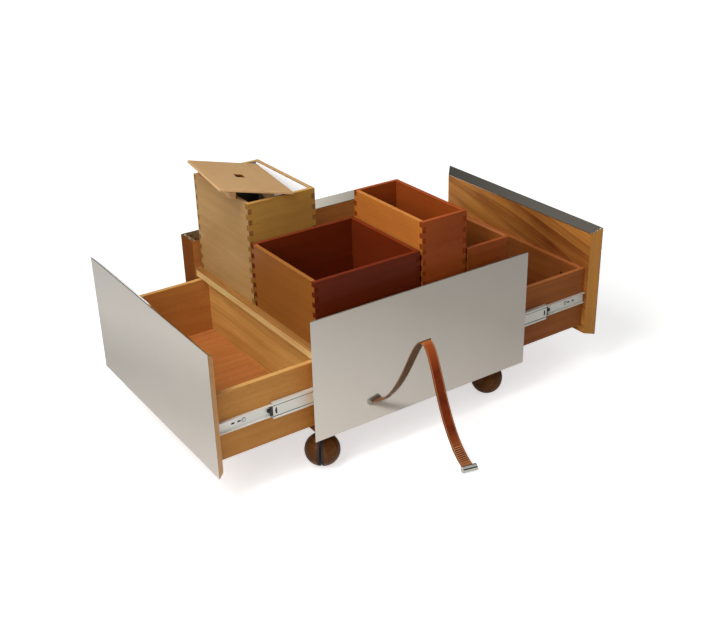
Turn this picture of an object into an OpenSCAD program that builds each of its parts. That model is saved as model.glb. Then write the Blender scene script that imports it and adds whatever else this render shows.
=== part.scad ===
// Low rolling bar cart: a square cabinet of four steel-faced panels on ball casters.
// The left and right panels are the fronts of two drawers that slide out under a deck,
// and four loose wooden boxes stand on the deck.
// All sizes are in millimetres. The origin is on the floor, below the middle of the
// whole cart as it stands with both drawers open and the pull strap hanging out.

/* [Cabinet] */
// Outside width over the two drawer fronts when they are shut
cart_w = 610; // [580:1:700]
// Outside depth over the fixed front and back panels
cart_d = 610; // [585:1:700]
// Height of the four outer panels
panel_h = 300; // [270:1:340]
// Thickness of a panel's wooden core
core_t = 19; // [15:0.5:22]
// Thickness of the steel sheet bonded to each panel
skin_t = 1; // [0.8:0.1:1.5]
// Gap left at each mitred corner of a drawer front
mitre_gap = 0.5; // [0.4:0.1:1.5]

/* [Deck and base] */
// Height of the deck's top face above the panels' bottom edges
deck_level = 207; // [190:1:225]
// Thickness of the deck board
deck_board_t = 19; // [15:0.5:22]
// Thickness of the sheet laid on the deck board
deck_sheet_t = 4; // [3:0.5:6]
// Width of the solid strip along each open edge of the deck board
deck_edge_w = 8; // [5:0.5:12]
// Gap between the deck's open edge and a shut drawer front
deck_gap = 2; // [1:0.5:4]
// Thickness of the base board that carries the casters
base_t = 19; // [16:0.5:24]
// Thickness of the upright board between the two drawers
divider_t = 18; // [12:0.5:22]
// Square section of the cleats that join the boards to the front and back panels
cleat_s = 12; // [9:0.5:12.5]

/* [Drawers] */
// How far the left drawer stands open
left_open = 238; // [0:1:250]
// How far the right drawer stands open
right_open = 250; // [0:1:250]
// Thickness of the drawer sides and ends
drawer_wall = 12; // [9:0.5:16]
// Clearance above and below a drawer box
drawer_gap = 2.5; // [1.5:0.5:5]
// Clearance between a shut drawer and the divider
drawer_end_gap = 4; // [2:0.5:8]
// Thickness of a drawer's bottom
drawer_bottom_t = 6; // [4:0.5:9]
// Height of a drawer's bottom above the lower edge of its sides
drawer_bottom_lift = 8; // [5:0.5:15]

/* [Ball-bearing slides] */
// Width of the space between a drawer side and the panel beside it
slide_space = 13; // [12.8:0.1:14]
// Length of the fixed channel and of the drawer's runner
slide_len = 250; // [220:1:260]
// Length of the middle member
mid_len = 240; // [200:1:245]
// Height of the slides' centre line above the panels' bottom edges
slide_level = 102; // [80:1:130]
// Height of the fixed channel
channel_h = 45; // [43:0.5:50]
// Height of the middle member
mid_h = 39; // [37.5:0.5:40]
// Height of the drawer's runner
runner_h = 27.4; // [22:0.2:29]
// Thickness of the slides' sheet steel
slide_t = 1.2; // [1:0.1:1.4]
// Running clearance of the ball cages
cage_gap = 0.2; // [0.15:0.05:0.3]

/* [Casters] */
// Diameter of a caster ball
ball_d = 78; // [60:1:90]
// Gap between the two halves of a ball
ball_gap = 4.8; // [2.8:0.1:6]
// Distance from a caster's swivel axis to its ball's centre
trail = 17.5; // [12:0.5:20]
// Height from the top of a ball to the base board
caster_room = 12; // [11:0.5:20]
// Distance of a swivel axis from the cabinet's outer faces
caster_inset = 50.5; // [50:0.5:90]
// Width of the rubber tyre on each half
tyre_w = 4.5; // [3:0.5:8]
// Thickness of a tyre
tyre_t = 2; // [1:0.25:3]
// Radius of a caster's axle
axle_r = 3; // [2.5:0.25:4]
// Radius of a caster's king pin
pin_r = 5; // [4:0.25:6]

/* [Pull strap] */
// Width of the leather strap
strap_w = 27; // [18:0.5:32]
// Thickness of the leather
strap_t = 3; // [2:0.25:4]
// Height of the strap's slot above the panels' bottom edges
slot_level = 155; // [140:1:165]
// How far the bar at the strap's end hangs out in front
strap_reach = 186; // [120:1:220]
// How far the strap's end drifts to the left
strap_drift = 19; // [0:1:25]
// Height of the bar's middle above the floor
strap_end_h = 9; // [9:0.5:40]
// Diameter of the bar at the strap's end
bar_d = 16; // [8:0.5:17]
// Length of the bar at the strap's end
bar_len = 36; // [34:0.5:50]
// Turn of the strap's end, seen from above
bar_turn = 13; // [0:1:20]

/* [Boxes] */
// Thickness of the boxes' walls
wall_t = 10; // [8:0.5:12]
// Thickness of the boxes' bottoms
bottom_t = 6; // [4:0.5:9]
// Height of one finger of the corner joints, near enough
finger_h = 14; // [9:0.5:20]
// Distance of the back box from the back panel
box_back = 8; // [2:0.5:20]
// Outside width of the lined box
lined_w = 180; // [150:1:240]
// Height of the lined box
lined_h = 250; // [180:1:280]
// Distance of the low box from the deck's right edge
box_right = 6; // [2:0.5:40]
// Height of the wide box
wide_h = 157; // [110:1:200]
// Outside width of the tall box
tall_w = 127; // [90:1:130]
// Height of the tall box
tall_h = 223; // [150:1:260]
// Outside width of the low box
low_w = 127; // [90:1:130]
// Height of the low box
low_h = 126; // [90:1:180]
// Distance of the left boxes from the deck's left edge
box_margin = 15; // [5:0.5:17]
// Distance of the front boxes from the front panel
box_front = 18; // [10:0.5:22]
// Gap between the front and the back row
row_gap = 6; // [2:0.5:8]
// Gap between the wide box and the tall box
wide_gap = 6; // [3:0.5:8]
// Gap between the tall box and the low box
tall_gap = 5; // [3:0.5:8]

/* [Lined box and its lid] */
// Thickness of the lining's steel sheet
liner_t = 1; // [0.8:0.1:1.5]
// Depth of the lining's upper edge below the rim
liner_drop = 2; // [1:0.5:6]
// Thickness of the lid
lid_t = 6; // [4:0.5:8]
// Width of the lid
lid_w = 178; // [170:1:180]
// Length of the lid
lid_d = 260; // [252:1:262]
// Depth of the two battens below the lid
batten_h = 22.5; // [10:0.5:24]
// Width of a batten
batten_w = 15; // [10:0.5:20]
// Distance of the battens from the lid's long edges
batten_in = 35; // [20:0.5:40]
// Distance of the battens' ends from the lid's short edges
batten_end = 30; // [28:0.5:50]
// Turn of the lid as it lies ajar, seen from above
lid_turn = 10.5; // [0:0.5:11]
// How far the lid overhangs the front of its box
lid_over = 12; // [5:0.5:17]
// How far the lid's right edge lies from the right of its box
lid_slip = 64.5; // [40:0.5:66]
// Length of the lid's finger hole, along the lid
hole_l = 27; // [20:1:40]
// Width of the lid's finger hole
hole_w = 22; // [16:1:30]

/* [Hidden] */
$fn = 64;
part_gap = 0.1;
screw_head_r = 4;
screw_head_h = 1.2;
screw_shank_r = 1.9;
screw_len = 13;
pilot_r = screw_shank_r + part_gap;
sqrt2 = sqrt(2);

// Colours, as the photograph shows them
steel = [0.72, 0.70, 0.67];
panel_wood = [0.66, 0.43, 0.18];
deck_wood = [0.62, 0.42, 0.22];
drawer_wood = [0.58, 0.38, 0.18];
pale_wood = [0.63, 0.50, 0.30];
red_wood = [0.50, 0.24, 0.10];
amber_wood = [0.62, 0.34, 0.12];
leather_tan = [0.60, 0.28, 0.09];
bright = [0.80, 0.80, 0.80];
zinc = [0.85, 0.86, 0.87];
black = [0.08, 0.08, 0.08];
walnut = [0.28, 0.14, 0.08];
rubber_grey = [0.33, 0.32, 0.31];

// Panels
panel_t = core_t + skin_t;
bevel_lap = skin_t * sqrt2;
inner_y0 = panel_t;
inner_y1 = cart_d - panel_t;
mid_x = cart_w / 2;
mid_y = cart_d / 2;

// Deck and base
deck_t = deck_board_t + deck_sheet_t;
deck_under = deck_level - deck_t;
deck_x0 = panel_t + deck_gap;
deck_x1 = cart_w - deck_x0;
cleat_in = 20;
cleat_x0 = deck_x0 + cleat_in;
cleat_len = cart_w - 2 * cleat_x0;
cleat_screw_in = 40;
cleat_screw_shift = cleat_screw_in / 2;
cleat_screw_x = [cleat_screw_in, cleat_len / 4 + cleat_screw_shift,
    3 * cleat_len / 4 - cleat_screw_shift, cleat_len - cleat_screw_in];

// Drawers, drawn shut
drawer_y0 = inner_y0 + slide_space;
drawer_y1 = inner_y1 - slide_space;
drawer_z0 = base_t + drawer_gap;
drawer_h = deck_under - drawer_gap - drawer_z0;
drawer_x1 = mid_x - divider_t / 2 - drawer_end_gap;
drawer_len = drawer_x1 - panel_t;
runner_x0 = panel_t + 1;
mid_x0 = runner_x0 + slide_len - mid_len;
latch_x = 130;
latch_l = 22;
latch_w = 6;
latch_t = 2.4;
latch_pad_d = 9;
latch_pad_t = 3.6;
runner_screw_x = [62, slide_len - 40];
runner_screw_len = 9;
runner_slot_x = [36, 51];
runner_slot_l = 9;
runner_slot_w = 4.4;
front_screw_len = 20;
front_screw_y = 70;
front_screw_z = 35;

// Depths across a slide, measured from the panel's inner face towards the drawer
runner_back = slide_space - slide_t;
runner_lip = 5;
mid_web = 2 * slide_t + 0.2;
mid_lip = slide_space - slide_t - 0.3;
outer_cage_h = (channel_h - 2 * slide_t - mid_h) / 2 - 2 * cage_gap;
inner_cage_h = (mid_h - 2 * slide_t - runner_h) / 2 - 2 * cage_gap;
inner_cage_len = 105;
outer_cage_len = 112;
outer_cage_x = 118;

// Casters
ball_r = ball_d / 2;
half_r = ball_r;
caster_h = ball_d + caster_room;
plate_t = 2.5;
plate_s = 44;
plate_hole = 17;
plate_lift = 0.5;
disc_r = 15;
disc_drop = caster_room - 2;
web_t = ball_gap - 1;
guard_in = 2.5;
hub_r = 8;
hub_len = 20;
ball_wall = 4;
run_gap = 0.05;
pin_head_r = 8;
pin_head_h = 3;
pin_head_gap = 0.2;
axle_len = 2 * hub_len;
pocket_r = 10;
pocket_h = 6;
// Swivel angle of each caster's trailing ball: front left, front right, back left, back right
caster_turn = [230, 132, 205, 128];
caster_xy = [
    [caster_inset, caster_inset],
    [cart_w - caster_inset, caster_inset],
    [caster_inset, cart_d - caster_inset],
    [cart_w - caster_inset, cart_d - caster_inset]
];

// Pull strap: its middle line leaves the slot level and falls in one curve
slot_w = strap_w + 3;
slot_h = strap_t + 3;
strap_end_z = strap_end_h - caster_h;
strap_rings = 26;
strap_from = [0, slot_level];
strap_bulge = 43;
strap_lift = 35;
strap_out = [-strap_bulge, slot_level];
strap_in = [-0.393 * strap_reach, strap_end_z + strap_lift];
strap_to = [-strap_reach, strap_end_z];
strap_low_y = -strap_reach - bar_len / 2 * sin(bar_turn) - bar_d / 2 * cos(bar_turn);
slit_gap = 0.35;
tail_drop = 26;
tail_start = 2;
anchor_t = 2;
anchor_side = 10;
anchor_w = strap_w + 2 * anchor_side;
anchor_h = 18;
anchor_screw_x = strap_w / 2 + 5.5;

// Boxes on the deck
// Two rows share the deck's depth, and the wide box takes the width that the others leave
box_d = (inner_y1 - inner_y0 - box_front - row_gap - box_back) / 2;
front_row_y = inner_y0 + box_front;
back_row_y = front_row_y + box_d + row_gap;
left_boxes_x = deck_x0 + box_margin;
wide_w = deck_x1 - left_boxes_x - wide_gap - tall_w - tall_gap - low_w - box_right;
tall_x = left_boxes_x + wide_w + wide_gap;
low_x = tall_x + tall_w + tall_gap;

// The lid lies askew: its right edge rests on the front wall, and its left batten on the left wall.
// Its far end dips a little, and lid_run is how far the second rest lies behind the first.
lid_dip = 2;
lid_run = 120;
lid_tilt = atan((batten_h + lid_run * sin(lid_dip)) / (lid_w - batten_in - batten_w));
lid_lift = part_gap + (lid_over + wall_t) / cos(lid_turn) * sin(lid_dip);

// The origin lies below the middle of the cart's whole box
box_mid_x = (cart_w + right_open - left_open) / 2;
box_mid_y = (cart_d + strap_low_y) / 2;

// Places a part drawn from the cabinet's front left bottom corner
module in_cart() {
    translate([-box_mid_x, -box_mid_y, caster_h]) children();
}

// The right drawer and its slides are the left ones turned round
module as_right() {
    translate([cart_w, cart_d, 0]) rotate([0, 0, 180]) children();
}

module left_out(share) {
    in_cart() translate([-left_open * share, 0, 0]) children();
}

module right_out(share) {
    in_cart() translate([right_open * share, 0, 0]) as_right() children();
}

// Repeats a part of the near side at the far side of the cabinet
module both_sides() {
    children();
    translate([0, cart_d, 0]) mirror([0, 1, 0]) children();
}

module block(x0, x1, y0, y1, z0, z1) {
    translate([x0, y0, z0]) cube([x1 - x0, y1 - y0, z1 - z0]);
}

// A screw whose head lies on z = 0 and whose shank runs down
module screw(len = screw_len) {
    cylinder(r = screw_head_r, h = screw_head_h, $fn = 32);
    translate([0, 0, -len]) cylinder(r = screw_shank_r, h = len + 0.2, $fn = 24);
}

module pilot(len = screw_len) {
    translate([0, 0, -len - 0.5]) cylinder(r = pilot_r, h = len + 2, $fn = 24);
}

// Points a part that lies along -Z towards -Y
module towards_front() { rotate([-90, 0, 0]) children(); }

// Outer panels

// One panel with its outer face on y = 0: mitred ends and a top edge that slopes down inwards
module mitred(len, gap, section) {
    intersection() {
        linear_extrude(panel_h)
            polygon([[gap, 0], [len - gap, 0], [len - gap - panel_t, panel_t], [gap + panel_t, panel_t]]);
        rotate([90, 0, 90]) linear_extrude(len) polygon(section);
    }
}

module core(len, gap) {
    mitred(len, gap, [
        [skin_t, 0], [panel_t, 0],
        [panel_t, panel_h - panel_t - bevel_lap], [skin_t, panel_h - skin_t - bevel_lap]
    ]);
}

module skin(len, gap) {
    mitred(len, gap, [
        [0, 0], [skin_t, 0],
        [skin_t, panel_h - skin_t - bevel_lap], [panel_t, panel_h - panel_t - bevel_lap],
        [panel_t, panel_h - panel_t], [0, panel_h]
    ]);
}

// The strap lies on the slot's lower edge
module strap_slot() {
    translate([mid_x - slot_w / 2, -panel_t, slot_level - strap_t / 2 - part_gap])
        cube([slot_w, 3 * panel_t, slot_h]);
}

// Screw places on the inner face of the front panel: cleats, slide channels and strap anchor
module cleat_screw_places() {
    for (x = cleat_screw_x, z = [base_t + cleat_s / 2, deck_under - cleat_s / 2])
        translate([cleat_x0 + x, inner_y0 + cleat_s, z]) children();
}

module channel_screw_places() {
    for (x = runner_screw_x)
        translate([runner_x0 + x, inner_y0 + slide_t, slide_level]) children();
}

module anchor_screw_places() {
    for (x = [-anchor_screw_x, anchor_screw_x])
        translate([mid_x + x, inner_y0 + strap_t + anchor_t, slot_level - tail_drop + anchor_h / 2])
            children();
}

module panel_pilots() {
    cleat_screw_places() towards_front() translate([0, 0, -screw_head_h]) pilot();
    channel_screw_places() towards_front() pilot();
    as_right() both_sides() channel_screw_places() towards_front() pilot();
}

module front_panel() {
    color(panel_wood) in_cart() difference() {
        core(cart_w, 0);
        strap_slot();
        panel_pilots();
        anchor_screw_places() towards_front() pilot();
    }
}

module front_skin() {
    color(steel) in_cart() difference() {
        skin(cart_w, 0);
        strap_slot();
    }
}

module back_panel() {
    color(panel_wood) in_cart() difference() {
        as_right() core(cart_w, 0);
        as_right() panel_pilots();
    }
}

module back_skin() {
    color(steel) in_cart() as_right() skin(cart_w, 0);
}

// Boards of the cabinet

module deck_board() {
    color(deck_wood) in_cart()
        block(deck_x0 + deck_edge_w, deck_x1 - deck_edge_w, inner_y0, inner_y1,
            deck_under, deck_level - deck_sheet_t);
}

module deck_sheet() {
    color(deck_wood) in_cart()
        block(deck_x0, deck_x1, inner_y0, inner_y1, deck_level - deck_sheet_t, deck_level);
}

module deck_edges() {
    color(deck_wood) in_cart() for (x = [deck_x0 + 1, deck_x1 - deck_edge_w])
        block(x, x + deck_edge_w - 1, inner_y0, inner_y1, deck_under, deck_level - deck_sheet_t);
}

module base_board() {
    color(deck_wood) in_cart() difference() {
        block(deck_x0, deck_x1, inner_y0, inner_y1, 0, base_t);
        for (p = caster_xy) translate([p[0], p[1], 0]) {
            translate([0, 0, -1]) cylinder(r = pocket_r, h = pocket_h + 1);
            plate_screw_places() rotate([180, 0, 0]) pilot();
        }
    }
}

module divider() {
    color(panel_wood) in_cart()
        block(mid_x - divider_t / 2, mid_x + divider_t / 2, drawer_y0, drawer_y1, base_t, deck_under);
}

module cleats() {
    color(panel_wood) in_cart() both_sides() difference() {
        for (z = [base_t, deck_under - cleat_s])
            block(cleat_x0, cleat_x0 + cleat_len, inner_y0, inner_y0 + cleat_s, z, z + cleat_s);
        cleat_screw_places() towards_front() {
            pilot();
            translate([0, 0, -screw_head_h - part_gap]) cylinder(r = screw_head_r + part_gap, h = 5);
        }
    }
}

// Ball-bearing slides, drawn for the left drawer's near side

// A channel open towards the drawer (web at depth s0) with lips up to depth s1
module slide_profile(x0, len, h, web0, web1, lip0, lip1) {
    translate([x0, inner_y0, slide_level]) {
        translate([0, web0, -h / 2]) cube([len, web1 - web0, h]);
        for (z = [-h / 2, h / 2 - slide_t])
            translate([0, lip0, z]) cube([len, lip1 - lip0, slide_t]);
    }
}

module channel() {
    difference() {
        slide_profile(runner_x0, slide_len, channel_h, 0, slide_t, 0, mid_lip);
        channel_screw_places() towards_front() pilot();
    }
}

module slide_channels() {
    color(zinc) in_cart() {
        both_sides() channel();
        as_right() both_sides() channel();
    }
}

module mid_member() {
    slide_profile(mid_x0, mid_len, mid_h, mid_web, mid_web + slide_t, mid_web, mid_lip);
}

// Bars that stand for the rows of balls above and below the middle member
module cages() {
    for (side = [-1, 1]) {
        translate([mid_x0 + outer_cage_x, inner_y0 + 5,
            slide_level + side * (mid_h / 2 + cage_gap + outer_cage_h / 2) - outer_cage_h / 2])
            cube([outer_cage_len, 5, outer_cage_h]);
        translate([mid_x0 + 2, inner_y0 + runner_lip + 1,
            slide_level + side * (runner_h / 2 + cage_gap + inner_cage_h / 2) - inner_cage_h / 2])
            cube([inner_cage_len, 5, inner_cage_h]);
    }
}

module runner_screw_places() {
    for (x = runner_screw_x)
        translate([runner_x0 + x, drawer_y0 - slide_t, slide_level]) children();
}

// The runner's slots lie beside its screws
module runner() {
    difference() {
        slide_profile(runner_x0, slide_len, runner_h, runner_back, slide_space, runner_lip, slide_space);
        runner_screw_places() rotate([90, 0, 0]) pilot();
        for (x = runner_slot_x) translate([runner_x0 + x, drawer_y0, slide_level])
            rotate([90, 0, 0]) linear_extrude(3 * slide_t, center = true)
                slot2d(runner_slot_l, runner_slot_w);
    }
}

module slot2d(len, w) {
    square([len - w, w], center = true);
    for (x = [-1, 1]) translate([x * (len - w) / 2, 0]) circle(d = w, $fn = 24);
}

// Release lever on the runner's web
module latch() {
    translate([runner_x0 + latch_x, drawer_y0 - slide_t, slide_level]) rotate([90, 0, 0]) {
        linear_extrude(latch_t) slot2d(latch_l, latch_w);
        linear_extrude(latch_pad_t) translate([(latch_w - latch_l) / 2, 0])
            circle(d = latch_pad_d, $fn = 32);
    }
}

// Drawers, drawn shut at the left

module side_front() { translate([0, cart_d, 0]) rotate([0, 0, -90]) children(); }

module drawer_front_screw_places() {
    for (y = [drawer_y0 + front_screw_y, drawer_y1 - front_screw_y],
        z = [drawer_z0 + front_screw_z, drawer_z0 + drawer_h - front_screw_z])
        translate([panel_t + drawer_wall, y, z]) children();
}

module drawer_panel_pilots() {
    drawer_front_screw_places() rotate([0, 90, 0]) pilot(front_screw_len);
}

module drawer_core() {
    difference() {
        side_front() core(cart_d, mitre_gap);
        drawer_panel_pilots();
    }
}

module drawer_skin() { side_front() skin(cart_d, mitre_gap); }

// Groove for the drawer's bottom
module bottom_groove() {
    block(panel_t + drawer_wall / 2, drawer_x1 - drawer_wall / 2,
        drawer_y0 + drawer_wall / 2, drawer_y1 - drawer_wall / 2,
        drawer_z0 + drawer_bottom_lift, drawer_z0 + drawer_bottom_lift + drawer_bottom_t);
}

module drawer_sides() {
    both_sides() difference() {
        block(panel_t, drawer_x1, drawer_y0, drawer_y0 + drawer_wall, drawer_z0, drawer_z0 + drawer_h);
        bottom_groove();
        runner_screw_places() rotate([90, 0, 0]) pilot(runner_screw_len);
    }
}

module drawer_ends() {
    difference() {
        for (x = [panel_t, drawer_x1 - drawer_wall])
            block(x, x + drawer_wall, drawer_y0 + drawer_wall, drawer_y1 - drawer_wall,
                drawer_z0, drawer_z0 + drawer_h);
        bottom_groove();
        drawer_panel_pilots();
    }
}

module drawer_screws() {
    both_sides() runner_screw_places() rotate([90, 0, 0]) screw(runner_screw_len);
    drawer_front_screw_places() rotate([0, 90, 0]) screw(front_screw_len);
}

module left_panel() { color(panel_wood) left_out(1) drawer_core(); }
module left_skin() { color(steel) left_out(1) drawer_skin(); }
module left_sides() { color(drawer_wood) left_out(1) drawer_sides(); }
module left_ends() { color(drawer_wood) left_out(1) drawer_ends(); }
module left_bottom() { color(drawer_wood) left_out(1) bottom_groove(); }
module left_runners() { color(zinc) left_out(1) both_sides() runner(); }
module left_latches() { color(black) left_out(1) both_sides() latch(); }
module left_screws() { color(zinc) left_out(1) drawer_screws(); }
module left_mid_slides() { color(zinc) left_out(0.5) both_sides() mid_member(); }
module left_ball_cages() { color(black) left_out(0.5) both_sides() cages(); }

module right_panel() { color(panel_wood) right_out(1) drawer_core(); }
module right_skin() { color(steel) right_out(1) drawer_skin(); }
module right_sides() { color(drawer_wood) right_out(1) drawer_sides(); }
module right_ends() { color(drawer_wood) right_out(1) drawer_ends(); }
module right_bottom() { color(drawer_wood) right_out(1) bottom_groove(); }
module right_runners() { color(zinc) right_out(1) both_sides() runner(); }
module right_latches() { color(black) right_out(1) both_sides() latch(); }
module right_screws() { color(zinc) right_out(1) drawer_screws(); }
module right_mid_slides() { color(zinc) right_out(0.5) both_sides() mid_member(); }
module right_ball_cages() { color(black) right_out(0.5) both_sides() cages(); }

// Pull strap

function mix(a, b, t) = a + (b - a) * t;
function strap_yz(t) = pow(1 - t, 3) * strap_from + 3 * pow(1 - t, 2) * t * strap_out
    + 3 * (1 - t) * t * t * strap_in + pow(t, 3) * strap_to;
function strap_dir(t) = let (d = strap_yz(min(1, t + 0.01)) - strap_yz(min(1, t + 0.01) - 0.02))
    d / norm(d);
function strap_x(t) = mid_x - strap_drift * pow(t, 1.6);

// The four corners of the strap's section at t, from 0 at the panel to 1 at its end
function strap_ring(t) = let (
        c = strap_yz(t), d = strap_dir(t), turn = bar_turn * t,
        across = [cos(turn), -sin(turn), 0] * strap_w / 2,
        up = [0, -d[1], d[0]] * -strap_t / 2,
        p = [strap_x(t), c[0], c[1]]
    ) [p - across - up, p + across - up, p + across + up, p - across + up];

module pull_strap() {
    rings = [for (i = [0:strap_rings]) strap_ring(i / strap_rings)];
    last = 4 * strap_rings;
    color(leather_tan) in_cart() polyhedron(
        points = [for (r = rings, p = r) p],
        faces = concat(
            [[0, 1, 2], [0, 2, 3]],
            [for (i = [0:strap_rings - 1], k = [0:3])
                let (a = 4 * i + k, b = 4 * i + (k + 1) % 4) each [[a, a + 4, b], [b, a + 4, b + 4]]],
            [[last, last + 2, last + 1], [last, last + 3, last + 2]]
        )
    );
}

module strap_bar() {
    d = strap_dir(1);
    slit = strap_t + 2 * slit_gap;
    // The strap leaves the turned bar a little aslant
    slant = bar_d / 2 * tan(bar_turn);
    color(bright) in_cart() translate([strap_x(1), strap_to[0], strap_to[1]])
        rotate([0, 0, -bar_turn]) rotate([-atan2(d[1], -d[0]), 0, 0]) difference() {
            rotate([0, 90, 0]) cylinder(d = bar_d, h = bar_len, center = true);
            translate([-strap_w / 2 - slit_gap - slant, -slit_gap, -slit / 2])
                cube([strap_w + 2 * slit_gap + slant, bar_d, slit]);
        }
}

// The strap's hidden end passes through the slot and turns down behind the panel
module strap_tail() {
    color(leather_tan) in_cart() translate([mid_x - strap_w / 2, 0, slot_level]) {
        translate([0, tail_start, -strap_t / 2])
            cube([strap_w, inner_y0 + strap_t - tail_start, strap_t]);
        translate([0, inner_y0, -tail_drop]) cube([strap_w, strap_t, tail_drop]);
    }
}

module strap_anchor() {
    color(bright) in_cart() difference() {
        block(mid_x - anchor_w / 2, mid_x + anchor_w / 2, inner_y0 + strap_t, inner_y0 + strap_t + anchor_t,
            slot_level - tail_drop, slot_level - tail_drop + anchor_h);
        anchor_screw_places() towards_front() pilot();
    }
}

// Casters

module plate_screw_places() {
    for (x = [-plate_hole, plate_hole], y = [-plate_hole, plate_hole])
        translate([x, y, -plate_t]) children();
}

module caster_plates() {
    color(zinc) in_cart() for (p = caster_xy) translate([p[0], p[1], 0]) difference() {
        translate([-plate_s / 2, -plate_s / 2, -plate_t]) cube([plate_s, plate_s, plate_t]);
        translate([0, 0, -plate_t - 1]) cylinder(r = pin_r + run_gap, h = plate_t + 2);
        plate_screw_places() rotate([180, 0, 0]) pilot();
    }
}

// Every screw of the cabinet is the same
module cabinet_screws() {
    color(zinc) in_cart() {
        both_sides() cleat_screw_places() towards_front() translate([0, 0, -screw_head_h]) screw();
        both_sides() channel_screw_places() towards_front() screw();
        as_right() both_sides() channel_screw_places() towards_front() screw();
        anchor_screw_places() towards_front() screw();
        for (p = caster_xy) translate([p[0], p[1], 0])
            plate_screw_places() rotate([180, 0, 0]) screw();
    }
}

// A caster is drawn with its swivel axis on x = y = 0 and its ball trailing along +X
module at_caster(i) {
    in_cart() translate([caster_xy[i][0], caster_xy[i][1], 0])
        rotate([0, 0, caster_turn[i]]) children();
}

module at_axle() {
    translate([trail, 0, -caster_room - ball_r]) rotate([90, 0, 0]) children();
}

module swivel(i) {
    color(black) at_caster(i) {
        translate([0, 0, -disc_drop]) cylinder(r = disc_r, h = disc_drop - plate_t - plate_lift);
        translate([0, 0, -disc_drop]) cylinder(r = pin_r, h = disc_drop + pin_head_h);
        translate([0, 0, pin_head_gap]) cylinder(r = pin_head_r, h = pin_head_h);
        at_axle() {
            linear_extrude(web_t, center = true) {
                circle(r = ball_r - guard_in);
                polygon([[-hub_r, 0], [hub_r, 0], [-2, ball_r + 3], [-trail - disc_r + 4, ball_r + 3]]);
            }
            cylinder(r = axle_r, h = axle_len - 3, center = true);
        }
    }
}

// One half of a ball, on its flat side, with its hub and the groove for its tyre
module half_ball() {
    rotate_extrude() difference() {
        union() {
            intersection() {
                difference() {
                    circle(r = half_r);
                    circle(r = half_r - ball_wall);
                }
                square(half_r);
            }
            square([hub_r, half_r - ball_wall + 1]);
        }
        square([axle_r + run_gap, hub_len]);
        translate([half_r - tyre_t, 0]) square([tyre_t + 1, tyre_w]);
    }
}

// The tyre's tread follows the ball
module half_tyre() {
    rotate_extrude() polygon(concat(
        [[half_r - tyre_t + run_gap, 0]],
        [for (i = [0:4]) let (u = i * (tyre_w - run_gap) / 4) [sqrt(half_r * half_r - u * u), u]],
        [[half_r - tyre_t + run_gap, tyre_w - run_gap]]
    ));
}

module both_halves() {
    for (side = [0, 1]) mirror([0, 0, side]) translate([0, 0, ball_gap / 2]) children();
}

module ball(i) { color(walnut) at_caster(i) at_axle() both_halves() half_ball(); }
module tyres(i) { color(rubber_grey) at_caster(i) at_axle() both_halves() half_tyre(); }

module swivel_1() { swivel(0); }
module ball_1() { ball(0); }
module tyres_1() { tyres(0); }
module swivel_2() { swivel(1); }
module ball_2() { ball(1); }
module tyres_2() { tyres(1); }
module swivel_3() { swivel(2); }
module ball_3() { ball(2); }
module tyres_3() { tyres(2); }
module swivel_4() { swivel(3); }
module ball_4() { ball(3); }
module tyres_4() { tyres(3); }

// Boxes, each drawn from its front left bottom corner

// Cuts every second finger out of the corners; odd starts at the bottom
module finger_cuts(w, d, h, odd) {
    n = 2 * round(h / finger_h / 2) + 1;
    step = h / n;
    for (i = [odd:2:n - 1], x = [0, w - wall_t], y = [0, d - wall_t])
        translate([x - 0.5 * part_gap, y - 0.5 * part_gap, i * step - part_gap / 2])
            cube([wall_t + part_gap, wall_t + part_gap, step + part_gap]);
}

module box_walls(w, d, h) {
    difference() {
        for (y = [0, d - wall_t]) translate([0, y, 0]) cube([w, wall_t, h]);
        finger_cuts(w, d, h, 1);
    }
    difference() {
        for (x = [0, w - wall_t]) translate([x, 0, 0]) cube([wall_t, d, h]);
        finger_cuts(w, d, h, 0);
        for (y = [-1, d]) translate([-1, y, -1]) cube([w + 2, 1, h + 2]);
    }
}

module box_bottom(w, d) {
    translate([wall_t, wall_t, 0]) cube([w - 2 * wall_t, d - 2 * wall_t, bottom_t]);
}

module at_lined() { in_cart() translate([left_boxes_x, back_row_y, deck_level]) children(); }
module at_wide() { in_cart() translate([left_boxes_x, front_row_y, deck_level]) children(); }
module at_tall() { in_cart() translate([tall_x, front_row_y, deck_level]) children(); }
module at_low() { in_cart() translate([low_x, front_row_y, deck_level]) children(); }

module lined_walls() {
    color(pale_wood) at_lined() box_walls(lined_w, box_d, lined_h);
}

module lined_bottom() { color(pale_wood) at_lined() box_bottom(lined_w, box_d); }

module steel_liner() {
    w = lined_w - 2 * wall_t - 2 * part_gap;
    d = box_d - 2 * wall_t - 2 * part_gap;
    h = lined_h - liner_drop - bottom_t;
    color(bright) at_lined() translate([wall_t + part_gap, wall_t + part_gap, bottom_t]) difference() {
        cube([w, d, h]);
        translate([liner_t, liner_t, liner_t]) cube([w - 2 * liner_t, d - 2 * liner_t, h]);
    }
}

// Drawn from the near end of the lid's right lower edge, which lies on the front wall
module at_lid() {
    at_lined() translate([lined_w - lid_slip, -lid_over, lined_h + lid_lift])
        rotate([0, 0, -lid_turn]) rotate([0, lid_tilt, 0]) rotate([-lid_dip, 0, 0])
            translate([-lid_w, 0, 0]) children();
}

module box_lid() {
    color(pale_wood) at_lid() difference() {
        cube([lid_w, lid_d, lid_t]);
        translate([(lid_w - hole_w) / 2, (lid_d - hole_l) / 2, -1]) cube([hole_w, hole_l, lid_t + 2]);
    }
}

module lid_battens() {
    color(pale_wood) at_lid() for (x = [batten_in, lid_w - batten_in - batten_w])
        translate([x, batten_end, -batten_h]) cube([batten_w, lid_d - 2 * batten_end, batten_h]);
}

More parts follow.
